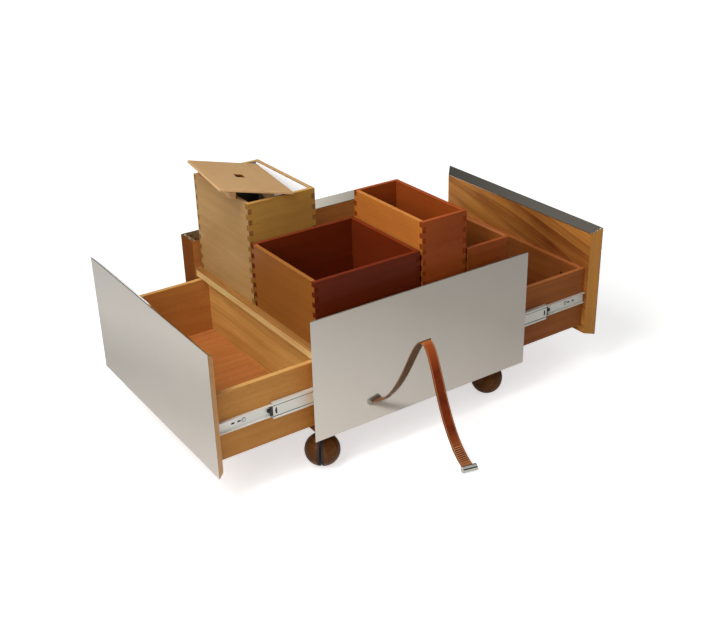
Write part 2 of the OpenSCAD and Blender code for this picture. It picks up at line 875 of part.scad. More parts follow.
module wide_walls() { color(red_wood) at_wide() box_walls(wide_w, box_d, wide_h); }
module wide_bottom() { color(red_wood) at_wide() box_bottom(wide_w, box_d); }
module tall_walls() { color(amber_wood) at_tall() box_walls(tall_w, box_d, tall_h); }
module tall_bottom() { color(amber_wood) at_tall() box_bottom(tall_w, box_d); }
module low_walls() { color(amber_wood) at_low() box_walls(low_w, box_d, low_h); }
module low_bottom() { color(amber_wood) at_low() box_bottom(low_w, box_d); }

front_panel();
front_skin();
back_panel();
back_skin();
deck_board();
deck_sheet();
deck_edges();
base_board();
divider();
cleats();
cabinet_screws();
slide_channels();
strap_tail();
strap_anchor();
caster_plates();
left_panel();
left_skin();
left_sides();
left_ends();
left_bottom();
left_runners();
left_latches();
left_screws();
right_panel();
right_skin();
right_sides();
right_ends();
right_bottom();
right_runners();
right_latches();
right_screws();
left_mid_slides();
left_ball_cages();
right_mid_slides();
right_ball_cages();
pull_strap();
strap_bar();
lined_walls();
lined_bottom();
steel_liner();
box_lid();
lid_battens();
wide_walls();
wide_bottom();
tall_walls();
tall_bottom();
low_walls();
low_bottom();
swivel_1();
ball_1();
tyres_1();
swivel_2();
ball_2();
tyres_2();
swivel_3();
ball_3();
tyres_3();
swivel_4();
ball_4();
tyres_4();
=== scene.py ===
# Low bar cart: steel-faced cabinet on ball casters, two side drawers, loose boxes and a pull strap
import math

import bpy
from mathutils import Matrix, Vector


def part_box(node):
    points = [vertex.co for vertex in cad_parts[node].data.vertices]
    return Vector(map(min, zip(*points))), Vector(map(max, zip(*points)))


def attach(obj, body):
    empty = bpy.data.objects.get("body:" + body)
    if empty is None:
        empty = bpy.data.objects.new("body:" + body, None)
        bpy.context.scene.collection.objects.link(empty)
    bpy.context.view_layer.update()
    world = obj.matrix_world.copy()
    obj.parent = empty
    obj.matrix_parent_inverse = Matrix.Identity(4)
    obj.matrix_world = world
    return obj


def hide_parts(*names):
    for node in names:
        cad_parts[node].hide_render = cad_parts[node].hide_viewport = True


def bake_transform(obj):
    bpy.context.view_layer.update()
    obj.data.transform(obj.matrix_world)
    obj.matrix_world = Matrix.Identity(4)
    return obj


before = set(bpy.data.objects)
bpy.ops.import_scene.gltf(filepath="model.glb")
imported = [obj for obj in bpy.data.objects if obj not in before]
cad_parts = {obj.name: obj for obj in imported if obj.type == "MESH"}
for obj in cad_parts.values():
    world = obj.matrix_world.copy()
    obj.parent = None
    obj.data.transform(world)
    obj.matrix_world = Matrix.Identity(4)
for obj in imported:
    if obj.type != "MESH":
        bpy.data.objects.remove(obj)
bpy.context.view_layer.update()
print("frame loaded,", len(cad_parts), "nodes")

mm = 0.001
# sizes are worked from the cabinet's front left bottom corner, in millimetres
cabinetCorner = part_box("front_skin")[0]


def place(x, y, z):
    return cabinetCorner + Vector((x, y, z)) * mm


def tone(red, green, blue):
    # a colour as a screen shows it, 0 to 255, made linear
    shares = [c / 255 for c in (red, green, blue)]
    return tuple(c / 12.92 if c < 0.04 else ((c + 0.055) / 1.055) ** 2.4 for c in shares) + (1.0,)


def tinted(colour, shares, most=1.0):
    # a colour with its red, green and blue each scaled
    return tuple(min(c * k, most) for c, k in zip(colour, shares)) + (1.0,)


# Modelling helpers
def clearPicks():
    if bpy.context.mode != "OBJECT":
        bpy.ops.object.mode_set(mode="OBJECT")
    bpy.ops.object.select_all(action="DESELECT")


def pick(*objs):
    clearPicks()
    for obj in objs:
        obj.select_set(True)
    bpy.context.view_layer.objects.active = objs[0]


def edit(obj, kind="FACE", everything=True):
    pick(obj)
    bpy.ops.object.mode_set(mode="EDIT")
    bpy.ops.mesh.select_mode(type=kind)
    bpy.ops.mesh.select_all(action="SELECT" if everything else "DESELECT")


def leaveEdit():
    bpy.ops.object.mode_set(mode="OBJECT")


def modify(obj, kind, **settings):
    pick(obj)
    modifier = obj.modifiers.new(kind.lower(), kind)
    for name, value in settings.items():
        setattr(modifier, name, value)
    bpy.ops.object.modifier_apply(modifier=modifier.name)


def smooth(obj, degrees=35):
    pick(obj)
    bpy.ops.object.shade_smooth_by_angle(angle=math.radians(degrees))


def roundEdges(obj, width, segments, degrees, **settings):
    modify(obj, "BEVEL", width=width * mm, segments=segments, limit_method="ANGLE",
           angle_limit=math.radians(degrees), **settings)


def soften(obj, width, segments=2):
    # rounds every sharp edge a little, width in millimetres, and keeps the broad faces' shading flat
    roundEdges(obj, width, segments, 40, use_clamp_overlap=True)
    smooth(obj)
    modify(obj, "WEIGHTED_NORMAL", mode="FACE_AREA", weight=100, keep_sharp=True)


def bevelTop(obj, width, segments):
    # rounds only the edges at the top of a piece
    top = corners(obj)[1].z
    edit(obj, "EDGE", everything=False)
    leaveEdit()
    for e in obj.data.edges:
        e.select = all(obj.data.vertices[v].co.z > top - 0.01 * mm for v in e.vertices)
    bpy.ops.object.mode_set(mode="EDIT")
    bpy.ops.mesh.bevel(offset=width * mm, segments=segments)
    leaveEdit()


def faceOut(obj):
    edit(obj)
    bpy.ops.mesh.normals_make_consistent(inside=False)
    leaveEdit()


def applyTransform(obj):
    pick(obj)
    bpy.ops.object.transform_apply(location=True, rotation=True, scale=True)


def addCylinder(sides, radius, height, level=0):
    # an upright cylinder about the origin, its middle at the level
    bpy.ops.mesh.primitive_cylinder_add(vertices=sides, radius=radius * mm, depth=height * mm,
                                        location=(0, 0, level * mm))
    applyTransform(bpy.context.object)
    return bpy.context.object


def joinParts(parts, name, material=None):
    # one piece of several, in one material unless they bring their own
    pick(*parts)
    bpy.ops.object.join()
    joined = bpy.context.object
    joined.name = name
    if material:
        joined.data.materials.clear()
        joined.data.materials.append(material)
    return joined


def addObject(name, data):
    obj = bpy.data.objects.new(name, data)
    bpy.context.scene.collection.objects.link(obj)
    return obj


copyLook = {"mergeDistance": 0.01, "flatAngle": 0.4}


def copyNode(nodeName, pieceName):
    # a CAD node's mesh is loose triangles, so its copy is merged and its flats made whole
    piece = addObject(pieceName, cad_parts[nodeName].data.copy())
    piece.data.materials.clear()
    edit(piece, "VERT")
    bpy.ops.mesh.remove_doubles(threshold=copyLook["mergeDistance"] * mm)
    bpy.ops.mesh.dissolve_limited(angle_limit=math.radians(copyLook["flatAngle"]))
    leaveEdit()
    return piece


def loosePieces(obj):
    edit(obj, "VERT")
    bpy.ops.mesh.separate(type="LOOSE")
    leaveEdit()
    return list(bpy.context.selected_objects)


def corners(obj):
    spread = [[v.co[i] for v in obj.data.vertices] for i in range(3)]
    return Vector([min(s) for s in spread]), Vector([max(s) for s in spread])


def middle(obj):
    low, high = corners(obj)
    return (low + high) / 2


def hand(obj, body, slot, *nodes):
    # the finished piece rides on its body and stands for its CAD nodes
    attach(obj, body)
    if nodes:
        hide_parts(*nodes)


def paint(obj, pickFor, *materials):
    # each face takes the material whose number it is given
    obj.data.materials.clear()
    for material in materials:
        obj.data.materials.append(material)
    for face in obj.data.polygons:
        face.material_index = int(pickFor(face))


def finishNode(node, name, body, slot, edge, look, segments=2):
    # a node whose copy needs only soft edges and one material, or wood as dressWood is told
    piece = copyNode(node, name)
    soften(piece, edge, segments)
    if isinstance(look, dict):
        dressWood(piece, **look)
    else:
        piece.data.materials.append(look)
    hand(piece, body, slot, node)


# Material helpers
def addNode(tree, kind, inputs=None, **values):
    node = tree.nodes.new("ShaderNode" + kind)
    for name, value in values.items():
        setattr(node, name, value)
    for name, value in (inputs or {}).items():
        if isinstance(value, bpy.types.NodeSocket):
            tree.links.new(value, node.inputs[name])
        else:
            node.inputs[name].default_value = value
    return node


def follow(kind, inputs, output=0, **values):
    # adds a node to the tree of the sockets that feed it, and gives its output
    tree = next(v.id_data for v in inputs.values() if isinstance(v, bpy.types.NodeSocket))
    return addNode(tree, kind, inputs, **values).outputs[output]


def connect(targets, **sources):
    for label, source in sources.items():
        source.id_data.links.new(source, targets[label.replace("_", " ")])


def newGroup(name, **inputs):
    # every group takes a place on the piece, and gives colour, roughness and relief
    group = bpy.data.node_groups.new(name, "ShaderNodeTree")
    outputs = {"Color": "Color", "Roughness": "Float", "Height": "Float"}
    for way, sockets in (("INPUT", {"Vector": "Vector", **inputs}), ("OUTPUT", outputs)):
        for label, kind in sockets.items():
            group.interface.new_socket(label, in_out=way, socket_type="NodeSocket" + kind)
    return group, group.nodes.new("NodeGroupInput").outputs, group.nodes.new("NodeGroupOutput").inputs


def newMaterial(name, **shader):
    material = bpy.data.materials.new(name)
    material.use_nodes = True
    tree = material.node_tree
    surface = tree.nodes["Principled BSDF"].inputs
    for label, value in shader.items():
        surface[label.replace("_", " ")].default_value = value
    return material, tree, surface


def noise(vector, scale, detail=2.0, roughness=0.5, distortion=0.0):
    return follow("TexNoise", {"Vector": vector, "Scale": scale, "Detail": detail, "Roughness": roughness,
                               "Distortion": distortion}, "Fac")


def rings(vector, scale, distortion, detailScale, profile):
    # growth rings about the X axis
    return follow("TexWave", {"Vector": vector, "Scale": scale, "Distortion": distortion, "Detail": 2.0,
                              "Detail Scale": detailScale}, "Fac",
                  wave_type="RINGS", rings_direction="X", wave_profile=profile)


def stretch(vector, x, y, z):
    return follow("VectorMath", {0: vector, 1: (x, y, z)}, operation="MULTIPLY")


def distance(vector):
    return follow("VectorMath", {0: vector}, "Value", operation="LENGTH")


def onPiece(tree):
    return addNode(tree, "TexCoord").outputs["Object"]


def remap(value, low, high, toLow=0.0, toHigh=1.0):
    return follow("MapRange", {"Value": value, "From Min": low, "From Max": high, "To Min": toLow,
                               "To Max": toHigh}, "Result")


def mixColours(share, a, b):
    # by number, because the node has sockets of one name for floats, vectors and colours
    return follow("Mix", {0: share, 6: a, 7: b}, 2, data_type="RGBA", blend_type="MIX")


def calc(operation, a, b=0.0):
    return follow("Math", {0: a, 1: b}, operation=operation)


def plus(a, b):
    return calc("ADD", a, b)


def times(a, b):
    return calc("MULTIPLY", a, b)


def relief(height, strength, depth):
    return follow("Bump", {"Height": height, "Strength": strength, "Distance": depth * mm})


# Wood: each pattern's stretch along and across the fibres, and how the figure and the pores show
grainLook = {
    "drift": (1.1, 4, 4), "swayY": 0.09, "swayZ": 0.05, "ringTaper": 0.12, "ringScale": 13.0,
    "streaks": (3, 90, 90), "fibres": (26, 760, 760), "pores": (75, 1500, 1500), "blotches": (5, 11, 11),
    "heartTaper": 0.2, "heartStarts": 0.13, "heartFull": 0.04, "fibreShare": 0.22, "poreShare": 0.55,
    "poreTone": (0.02, 0.008, 0.003, 1),
}


def makeGrainGroup():
    # sawn wood whose fibres run along X: growth figure, streaks, fibres and fine pores
    look = grainLook
    group, given, out = newGroup("sawnWood", Light="Color", Dark="Color", Figure="Float", Pores="Float",
                                 Shine="Float", Heart="Float")
    where = given["Vector"]
    drift = noise(stretch(where, *look["drift"]), 1.0, 1.0)
    sway = follow("CombineXYZ", {"Y": times(drift, look["swayY"]), "Z": times(drift, look["swayZ"])})
    bent = follow("VectorMath", {0: where, 1: sway}, operation="ADD")
    growth = rings(stretch(bent, look["ringTaper"], 1, 1), look["ringScale"], 1.4, 1.2, "SAW")
    streaks = noise(stretch(bent, *look["streaks"]), 1.0, 5.0, 0.65, 0.3)
    fibres = noise(stretch(bent, *look["fibres"]), 1.0, 2.0, 0.6)
    pores = remap(noise(stretch(bent, *look["pores"]), 1.0, 1.0), 0.62, 0.72)
    blotches = noise(stretch(where, *look["blotches"]), 1.0, 2.0, 0.5)
    lines = plus(remap(growth, 0.15, 1.0, 0.0, 0.5), remap(streaks, 0.32, 0.72))
    shade = plus(times(lines, given["Figure"]), remap(blotches, 0.3, 0.7, 0.0, 0.3))
    # near the pith, on the X axis, the wood is darker
    fromPith = distance(stretch(bent, look["heartTaper"], 1, 1))
    shade = plus(shade, times(remap(fromPith, look["heartStarts"], look["heartFull"]), given["Heart"]))
    base = mixColours(shade, given["Light"], given["Dark"])
    fine = mixColours(times(fibres, look["fibreShare"]), base, given["Dark"])
    dark = mixColours(look["poreShare"], given["Dark"], look["poreTone"])
    poreShare = times(pores, given["Pores"])
    connect(out, Color=mixColours(poreShare, fine, dark),
            Roughness=plus(given["Shine"], remap(streaks, 0.3, 0.7, -0.05, 0.09)),
            Height=calc("SUBTRACT", times(fibres, 0.5), poreShare))
    return group


def makeEndGroup():
    # the cut ends of the boards: darker, with ring arcs and a speckle of open pores
    group, given, out = newGroup("endGrain", Light="Color", Dark="Color")
    where = given["Vector"]
    growth = rings(stretch(where, 0, 1, 0.5), 75.0, 2.0, 3.0, "SIN")
    speckle = noise(where, 1900.0, 2.0, 0.6)
    shade = plus(remap(growth, 0.2, 0.9, 0.0, 0.4), remap(speckle, 0.35, 0.65, 0.0, 0.5))
    shade = plus(shade, remap(noise(where, 60.0, 3.0), 0.3, 0.7, -0.1, 0.2))
    connect(out, Color=mixColours(shade, given["Light"], given["Dark"]),
            Roughness=remap(speckle, 0.3, 0.7, 0.5, 0.68), Height=speckle)
    return group


# Sheet metal
sheetLook = {
    "brush": (12, 1400, 1400), "cloudScale": 7.0, "markScale": 240.0, "markRough": 0.05, "cloudShare": 0.09,
    "cloudTone": (0.35, 0.31, 0.26, 1), "lineShare": 0.06, "lineTone": (0.25, 0.24, 0.23, 1),
}


def makeSheetGroup():
    # rolled sheet metal: brush lines along X, soft clouds of handling and a few small marks
    look = sheetLook
    group, given, out = newGroup("rolledSheet", Metal="Color", Polish="Float", Clouds="Float", Lines="Float")
    where = given["Vector"]
    lines = noise(stretch(where, *look["brush"]), 1.0, 3.0, 0.6)
    clouds = noise(where, look["cloudScale"], 4.0, 0.6)
    marks = remap(noise(where, look["markScale"], 2.0, 0.7), 0.68, 0.78)
    rough = plus(given["Polish"], times(remap(clouds, 0.35, 0.7), given["Clouds"]))
    rough = plus(rough, times(lines, given["Lines"]))
    tint = mixColours(remap(clouds, 0.3, 0.75, 0.0, look["cloudShare"]), given["Metal"], look["cloudTone"])
    connect(out, Color=mixColours(times(lines, look["lineShare"]), tint, look["lineTone"]),
            Roughness=plus(rough, times(marks, look["markRough"])), Height=lines)
    return group


grainGroup, endGroup, sheetGroup = makeGrainGroup(), makeEndGroup(), makeSheetGroup()
# turns that lay a pattern's X along an axis of the cart, and that axis
alongX, alongY, alongZ = (0, 0, 0), (0, 0, -90), (0, 90, 0)
axes = {alongX: Vector((1, 0, 0)), alongY: Vector((0, 1, 0)), alongZ: Vector((0, 0, 1))}
finished = {}


def grouped(name, group, values, turn=alongX, shift=(0, 0, 0), bump=0.25, bumpDepth=0.12, **shader):
    # a material whose colour, roughness and bump come from one group on object coordinates
    key = (name, turn, tuple(shift))
    if key in finished:
        return finished[key]
    material, tree, surface = newMaterial(name, **shader)
    turned = follow("Mapping", {"Vector": onPiece(tree), "Location": shift,
                                "Rotation": [math.radians(a) for a in turn]})
    pattern = addNode(tree, "Group", node_tree=group)
    connect(pattern.inputs, Vector=turned)
    for label, value in values.items():
        pattern.inputs[label].default_value = value
    given = pattern.outputs
    connect(surface, Base_Color=given["Color"], Roughness=given["Roughness"],
            Normal=relief(given["Height"], bump, bumpDepth))
    finished[key] = material
    return material


# light and dark tone, figure, pores and roughness of each wood
woodTable = {
    "veneer": ((208, 142, 76), (156, 92, 40), 0.32, 0.5, 0.4),
    "tawny": ((232, 160, 76), (110, 44, 14), 0.36, 0.5, 0.42),
    "lipping": ((244, 194, 138), (206, 150, 94), 0.3, 0.4, 0.42),
    "tawnyLipping": ((188, 132, 64), (146, 94, 42), 0.3, 0.4, 0.42),
    "drawer": ((214, 152, 80), (166, 106, 48), 0.25, 0.5, 0.45),
    # painted light: the left drawer's ends, lighter as lit
    "drawerEnd": ((246, 200, 116), (196, 138, 66), 0.5, 0.5, 0.45),
    # painted shade: the left drawer's bottom, darker as in the shadow of what stands in it
    "drawerFloorPaintedShade": ((176, 112, 52), (130, 72, 30), 0.3, 0.5, 0.45),
    "umber": ((172, 102, 48), (118, 62, 26), 0.32, 0.5, 0.45),
    "oak": ((204, 150, 84), (142, 92, 42), 0.6, 0.6, 0.42),
    "oakEdge": ((232, 180, 108), (176, 120, 60), 0.5, 0.6, 0.42),
    "pale": ((190, 152, 96), (148, 106, 56), 0.2, 0.4, 0.44),
    # painted shade: the lined box's front wall, darker
    "paleFrontPaintedShade": ((194, 146, 72), (140, 94, 36), 0.18, 0.4, 0.44),
    "lid": ((222, 180, 128), (197, 152, 100), 0.12, 0.3, 0.44),
    # painted light: the wide box's left wall, lighter as lit
    "honeyPaintedLight": ((152, 94, 38), (112, 62, 20), 0.12, 0.4, 0.4),
    "maroon": ((124, 48, 18), (82, 25, 9), 0.2, 0.5, 0.36),
    # painted shade: the wide box's front wall, darker
    "maroonFrontPaintedShade": ((112, 40, 13), (74, 21, 7), 0.2, 0.5, 0.36),
    # painted light: the tall box's left wall, lighter as lit
    "amber": ((206, 126, 54), (158, 84, 30), 0.12, 0.4, 0.4),
    "russet": ((168, 80, 30), (114, 46, 15), 0.18, 0.5, 0.38),
    "hazel": ((174, 102, 46), (124, 64, 24), 0.3, 0.5, 0.4),
    # painted shade: the low box's front wall, darker
    "hazelFrontPaintedShade": ((168, 82, 30), (108, 50, 16), 0.3, 0.5, 0.4),
    # painted shade: a darker wood for the back panel's ends and the walls of the lid's finger hole
    "shade": ((136, 80, 36), (96, 50, 20), 0.25, 0.4, 0.42),
    "walnut": ((128, 80, 34), (46, 18, 9), 0.5, 0.3, 0.34),
}
woods = {kind: {"Light": tone(*light), "Dark": tone(*dark), "Figure": figure, "Pores": pores, "Shine": shine}
         for kind, (light, dark, figure, pores, shine) in woodTable.items()}
woods["tawny"]["Heart"] = 0.5
# cut ends are darker, most of all in the pale woods, and the faces that take the painted highlight are lighter
woodLook = {"endShares": (0.6, 0.52, 0.42), "redEndShares": (0.8, 0.7, 0.5), "redWoods": ("russet", "maroon", "hazel"),
            "highlightShares": (1.6, 1.7, 2.2), "highlightMost": 0.85, "highlightDepth": 2, "endFacing": 0.8, "highlightFacing": 0.6}


def wood(kind, turn, shift=(0, 0, 0)):
    return grouped(kind + "Wood", grainGroup, woods[kind], turn, shift, Specular_IOR_Level=0.1, Coat_Weight=0.02,
                   Coat_Roughness=0.25)


def cutEnd(kind, turn):
    shares = woodLook["redEndShares" if kind in woodLook["redWoods"] else "endShares"]
    look = {label: tinted(woods[kind][label], shares) for label in ("Light", "Dark")}
    return grouped(kind + "End", endGroup, look, turn, bump=0.3, bumpDepth=0.1, Specular_IOR_Level=0.05)


# painted highlight: a lighter copy of the wood, for faces that catch the light
def paintedHighlight(kind, turn, shift):
    look = dict(woods[kind])
    for label in ("Light", "Dark"):
        look[label] = tinted(look[label], woodLook["highlightShares"], woodLook["highlightMost"])
    return grouped(kind + "Edge", grainGroup, look, turn, shift, Specular_IOR_Level=0.15)


def dressWood(obj, kind, turn, shift=(0, 0, 0), endKind=None, highlightOn="top"):
    # long faces take the sawn figure, faces square to the fibres the end grain; top faces or side faces may take a
    # lighter painted highlight
    look = woodLook
    top = corners(obj)[1].z - look["highlightDepth"] * mm

    def pickFor(face):
        if abs(face.normal.dot(axes[turn])) > look["endFacing"]:
            return 1
        isTop = highlightOn == "top" and face.normal.z > look["highlightFacing"] and face.center.z > top
        isSide = highlightOn == "sides" and abs(face.normal.x) > look["highlightFacing"]
        return 2 if isTop or isSide else 0

    paint(obj, pickFor, wood(kind, turn, shift), cutEnd(endKind or kind, turn), paintedHighlight(kind, turn, shift))


steelLook = {"Metal": tone(198, 191, 181), "Polish": 0.025, "Clouds": 0.03, "Lines": 0.02}
# the lining's steel in two copies: a darker one as painted shade, and a near-white one as painted light
shadeLook = {"Metal": tone(118, 116, 112), "Polish": 0.25, "Clouds": 0.1, "Lines": 0.08}
paintedLitLinerLook = dict(shadeLook, Metal=tone(252, 251, 250))
zincLook = {"Metal": tone(232, 231, 223), "Polish": 0.42, "Clouds": 0.15, "Lines": 0.1}
# painted light: a brighter copy of the zinc, for the lit left runners
paintedLitZincLook = dict(zincLook, Metal=tone(248, 247, 241))
chromeLook = {"Metal": tone(192, 190, 182), "Polish": 0.04, "Clouds": 0.03, "Lines": 0.01}


def sheet(name, look, turn=alongX, bump=0.04, metallic=1.0):
    return grouped(name, sheetGroup, look, turn, bump=bump, bumpDepth=0.02, Metallic=metallic)


def plainMaterial(name, colour, roughness, speckle=900.0, **shader):
    # moulded, cast or painted stuff: a fine grain in roughness, tone and bump
    material, tree, surface = newMaterial(name, **shader)
    where = onPiece(tree)
    grain = noise(where, speckle, 3.0, 0.6)
    cloud = noise(where, 35.0, 3.0, 0.5)
    darker = tinted(colour, (0.7, 0.7, 0.7))
    spread = 0.06
    connect(surface, Base_Color=mixColours(remap(cloud, 0.3, 0.7), darker, colour),
            Roughness=remap(grain, 0.3, 0.7, roughness - spread, roughness + spread), Normal=relief(grain, 0.1, 0.1))
    return material


# Outer panels: a steel sheet folded over the bevel of a veneered core, with upright lipping on its mitred ends
panelLook = {
    "sheetEdge": 0.4, "coreEdge": 0.7, "foldRadius": 1.5, "foldAngle": 135, "foldSteps": 5,
    # the back panel's ends take the darker wood of painted shade
    "front": ("veneer", "lipping"), "back": ("veneer", "shade"), "left": ("veneer", "lipping"),
    "right": ("tawny", "tawnyLipping"), "figureShift": (0.3, 0.02, 0.11), "lippingShift": (0.1, 0.4, 0.03),
    "rightTurn": (-12, 0, -90), "rightShift": (0.26, 0.532, -0.3),
}


def makePanels():
    look = panelLook
    reach = look["foldRadius"] * math.tan(math.radians(look["foldAngle"] / 2))
    cut = plainMaterial("cutSteel", tone(92, 82, 66), 0.5, Metallic=0.3)
    for name, body, turn in (("front", "cart", alongX), ("back", "cart", alongX),
                             ("left", "left_drawer", alongY), ("right", "right_drawer", alongY)):
        steel = copyNode(name + "_skin", name + "SteelFace")
        bevelTop(steel, reach, look["foldSteps"])
        soften(steel, look["sheetEdge"])
        grain = axes[turn]
        paint(steel, lambda face: abs(face.normal.dot(grain)) > 0.5, sheet("panelSteel", steelLook, turn), cut)
        hand(steel, body, "steel_sheet", name + "_skin")
        core = copyNode(name + "_panel", name + "PanelCore")
        soften(core, look["coreEdge"])
        figureTurn, shift = turn, look["figureShift"]
        if name == "right":
            # its figure slants, and darkens towards the pith
            figureTurn, shift = look["rightTurn"], look["rightShift"]
        paint(core, lambda face: 0.5 < abs(face.normal.dot(grain)) < 0.95, wood(look[name][0], figureTurn, shift),
              wood(look[name][1], alongZ, look["lippingShift"]))
        hand(core, body, "panel_wood", name + "_panel")
    print("panels done")


makePanels()


# Boards of the cabinet: wood, grain, which faces take the painted highlight, and slot
boardLook = {"edge": 0.8}
boards = {
    "deck_board": ("oak", alongY, None, "deck_wood"), "deck_sheet": ("oak", alongY, None, "deck_wood"),
    # the deck edges' faces towards the sides take the painted highlight
    "deck_edges": ("oakEdge", alongY, "sides", "deck_wood"), "base_board": ("umber", alongX, None, "deck_wood"),
    "divider": ("drawer", alongY, None, "panel_wood"), "cleats": ("drawer", alongX, None, "panel_wood"),
}


def makeBoards():
    for node, (kind, turn, highlightOn, slot) in boards.items():
        finishNode(node, node.replace("_", "") + "Wood", "cart", slot, boardLook["edge"],
                   {"kind": kind, "turn": turn, "highlightOn": highlightOn})
    print("boards done")


makeBoards()


# Drawer boxes: the woods are those of the sides, the ends and the bottom. The left drawer's ends are painted lighter
# as lit and its bottom darker as painted shade; the right drawer's darker umber is partly painted shade.
drawerLook = {"edge": 0.8, "bottomEdge": 0.3, "endShift": (0.05, 0.3, 0.0),
              "left": ("drawer", "drawerEnd", "drawerFloorPaintedShade"), "right": ("umber", "umber", "umber")}


def makeDrawers():
    for side in ("left", "right"):
        for part, turn, kind in zip(("sides", "ends", "bottom"), (alongX, alongY, alongX), drawerLook[side]):
            edge = drawerLook["bottomEdge" if part == "bottom" else "edge"]
            shift = drawerLook["endShift"] if part == "ends" else (0, 0, 0)
            finishNode(f"{side}_{part}", side + "Drawer" + part.title(), side + "_drawer", "drawer_wood", edge,
                       {"kind": kind, "turn": turn, "shift": shift})
    print("drawers done")


makeDrawers()


# Slides
slideLook = {"edge": 0.25, "leverEdge": 0.8, "cageEdge": 0.15}
# on a middle member: raised ball tracks, dark bars beside them as painted shade in the grooves, a stop and a catch at
# its outer end
trackLook = {
    "endGap": 0.5, "inset": 0.4, "height": 5.2, "sunk": 0.3, "proud": 0.8, "edge": 0.7, "groove": 1.7,
    "grooveSunk": 0.2, "grooveProud": 0.08, "grooveEdge": 0.04, "stopOut": 6.5, "stopIn": 1.0, "stopHalf": 11.6,
    "stopFront": 2.0, "stopBack": 5.0, "stopEdge": 0.8, "catchIn": 4.6, "catchRadius": 8.0, "catchWidth": 5.0,
    "catchProud": 0.12, "catchSunk": 0.2,
}
# on a runner: dark inserts in its slots and a dark ring round each front screw, both painted shade
shadeMarks = {"webDepth": 6.8, "slots": (36, 51), "slotLength": 8.6, "slotHeight": 4.0, "slotHalfDepth": 0.3,
              "slotSunk": 0.55, "screws": (62, 210), "ringRadius": 4.3, "ringWidth": 0.8}


def makeSlides():
    zinc = sheet("zincPlate", zincLook, bump=0.08, metallic=0.3)
    bright = sheet("zincPaintedLit", paintedLitZincLook, bump=0.08, metallic=0.15)
    edge = slideLook["edge"]
    finishNode("slide_channels", "fixedChannels", "cart", "zinc", edge, zinc)
    for side in ("left", "right"):
        finishNode(side + "_mid_slides", side + "MiddleMembers", side + "_mids", "zinc", edge, zinc)
        # the left runners are painted in a brighter zinc, as lit
        finishNode(side + "_runners", side + "Runners", side + "_drawer", "zinc", edge,
                   bright if side == "left" else zinc)
    lever = plainMaterial("blackMoulding", tone(28, 28, 29), 0.42)
    cage = plainMaterial("cageSteel", tone(70, 70, 72), 0.4, Metallic=0.8)
    for side in ("left", "right"):
        finishNode(side + "_latches", side + "ReleaseLevers", side + "_drawer", "black_plastic",
                   slideLook["leverEdge"], lever)
        finishNode(side + "_ball_cages", side + "BallCages", side + "_mids", "black_steel",
                   slideLook["cageEdge"], cage)
    # painted shade: dark bars in the grooves beside the tracks
    grooveShade = plainMaterial("trackGroovePaintedShade", tone(52, 52, 50), 0.5)
    # painted shade: dark inserts in the runners' slots and rings round their screws
    dark = plainMaterial("slotPaintedShade", tone(24, 22, 20), 0.6)
    for side in ("left", "right"):
        makeTracks(side, zinc, grooveShade, lever)
        makeSlotShades(side, dark)
    print("slides done")


def slideEnds(node, side):
    # a member's box, its mid height, its outer end and the way inward from there
    low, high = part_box(node)
    outer, inward = (low.x, 1) if side == "left" else (high.x, -1)
    return low, high, (low.z + high.z) / 2, outer, inward


def makeBar(a, b, edge, segments):
    # one rounded bar between two opposite corners given in metres
    low, high = (Vector([most(pair) for pair in zip(a, b)]) for most in (min, max))
    bpy.ops.mesh.primitive_cube_add(size=1, location=(low + high) / 2)
    bar = bpy.context.object
    bar.scale = high - low
    applyTransform(bar)
    roundEdges(bar, edge, segments, 50)
    smooth(bar, 50)
    return bar


def makeTracks(side, zinc, grooveShade, lever):
    look = trackLook
    low, high, middleZ, outer, inward = slideEnds(side + "_mid_slides", side)
    start, stop, half = low.x + look["endGap"] * mm, high.x - look["endGap"] * mm, look["stopHalf"] * mm
    tracks, grooves, stops = [], [], []
    for face, out in ((low.y, -1), (high.y, 1)):
        for up in (1, -1):
            trackZ = (high.z if up > 0 else low.z) - up * look["inset"] * mm
            grooveZ = trackZ - up * look["height"] * mm
            webZ = grooveZ - up * look["groove"] * mm
            tracks.append(makeBar((start, face - out * look["sunk"] * mm, trackZ),
                                  (stop, face + out * look["proud"] * mm, grooveZ), look["edge"], 3))
            grooves.append(makeBar((start, face - out * look["grooveSunk"] * mm, grooveZ),
                                   (stop, face + out * look["grooveProud"] * mm, webZ), look["grooveEdge"], 1))
        front, back = (face - out * look[k] * mm for k in ("stopFront", "stopBack"))
        stops.append(makeBar((outer - inward * look["stopOut"] * mm, front, middleZ - half),
                             (outer + inward * look["stopIn"] * mm, back, middleZ + half), look["stopEdge"], 3))
        stops.append(makeCatch(outer, inward, face, out, middleZ))
    for parts, name, stuff, slot in ((tracks, "BallTracks", zinc, "zinc"),
                                     (grooves, "TrackGrooves", grooveShade, "black_steel"),
                                     (stops, "StopsAndCatches", lever, "black_plastic")):
        hand(joinParts(parts, side + name, stuff), side + "_mids", slot)


def makeCatch(outer, inward, face, out, middleZ):
    # a flat crescent, its straight side away from the member's end
    look = trackLook
    catch = addCylinder(40, look["catchRadius"], look["catchProud"] + look["catchSunk"])
    edit(catch)
    bpy.ops.mesh.bisect(plane_co=(0, 0, 0), plane_no=(1, 0, 0), clear_outer=True, use_fill=True)
    leaveEdit()
    for v in catch.data.vertices:
        share = -v.co.x / (look["catchRadius"] * mm)
        x = outer + inward * (look["catchIn"] + (1 - share) * look["catchWidth"]) * mm
        y = face + out * ((look["catchProud"] - look["catchSunk"]) / 2 * mm + v.co.z)
        v.co = Vector((x, y, middleZ + v.co.y))
    faceOut(catch)
    return catch


